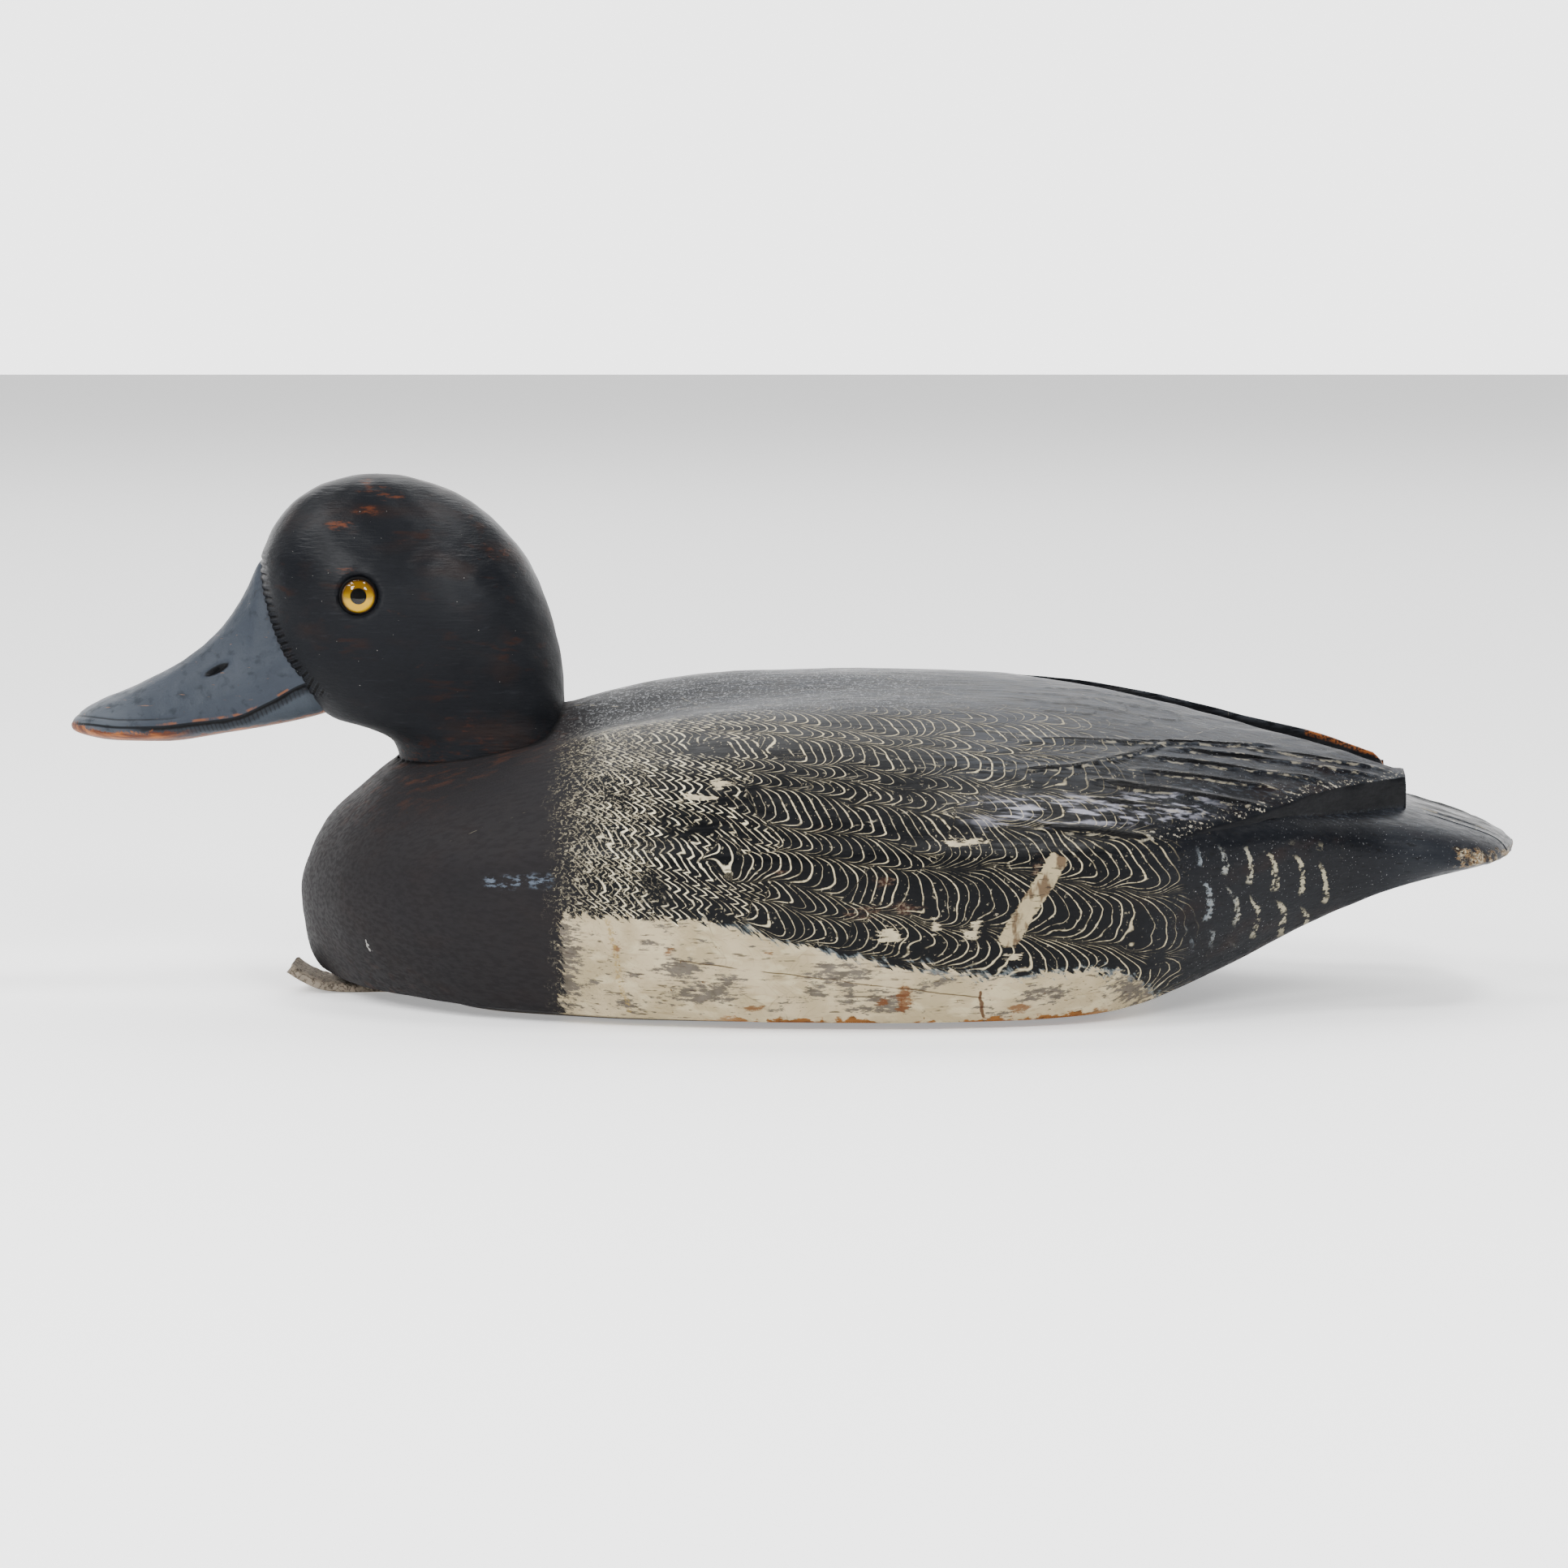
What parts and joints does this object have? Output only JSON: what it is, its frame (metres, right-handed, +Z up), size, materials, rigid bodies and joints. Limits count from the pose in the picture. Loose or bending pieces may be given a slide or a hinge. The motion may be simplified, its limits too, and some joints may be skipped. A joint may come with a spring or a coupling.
{
  "type": "bluebill duck decoy",
  "caption": "Carved and painted wooden duck decoy of a drake bluebill, with raised wing tips, a paddle tail, glass eyes and a leather line tie under the breast.",
  "frame": {"origin": "on the resting plane, below the middle of the whole decoy's length and width", "axes": "+X towards the tail, -X towards the bill, -Y towards the bird's left side, +Z up"},
  "size_m": [0.37, 0.15, 0.1332],
  "materials": {
    "body_paint": "old paint, black with cream combed lines, worn to bare wood along the edges",
    "head_paint": "old black paint with a soft sheen, slate blue on the bill",
    "eye_glass": "clear glass over a yellow iris and a black pupil",
    "tie_leather": "dry, cracked, grey brown"
  },
  "bodies": {
    "root": {"body": "body_paint", "head": "head_paint", "eye_left": "eye_glass", "eye_right": "eye_glass", "line_tie": "tie_leather"}
  },
  "joints": []
}
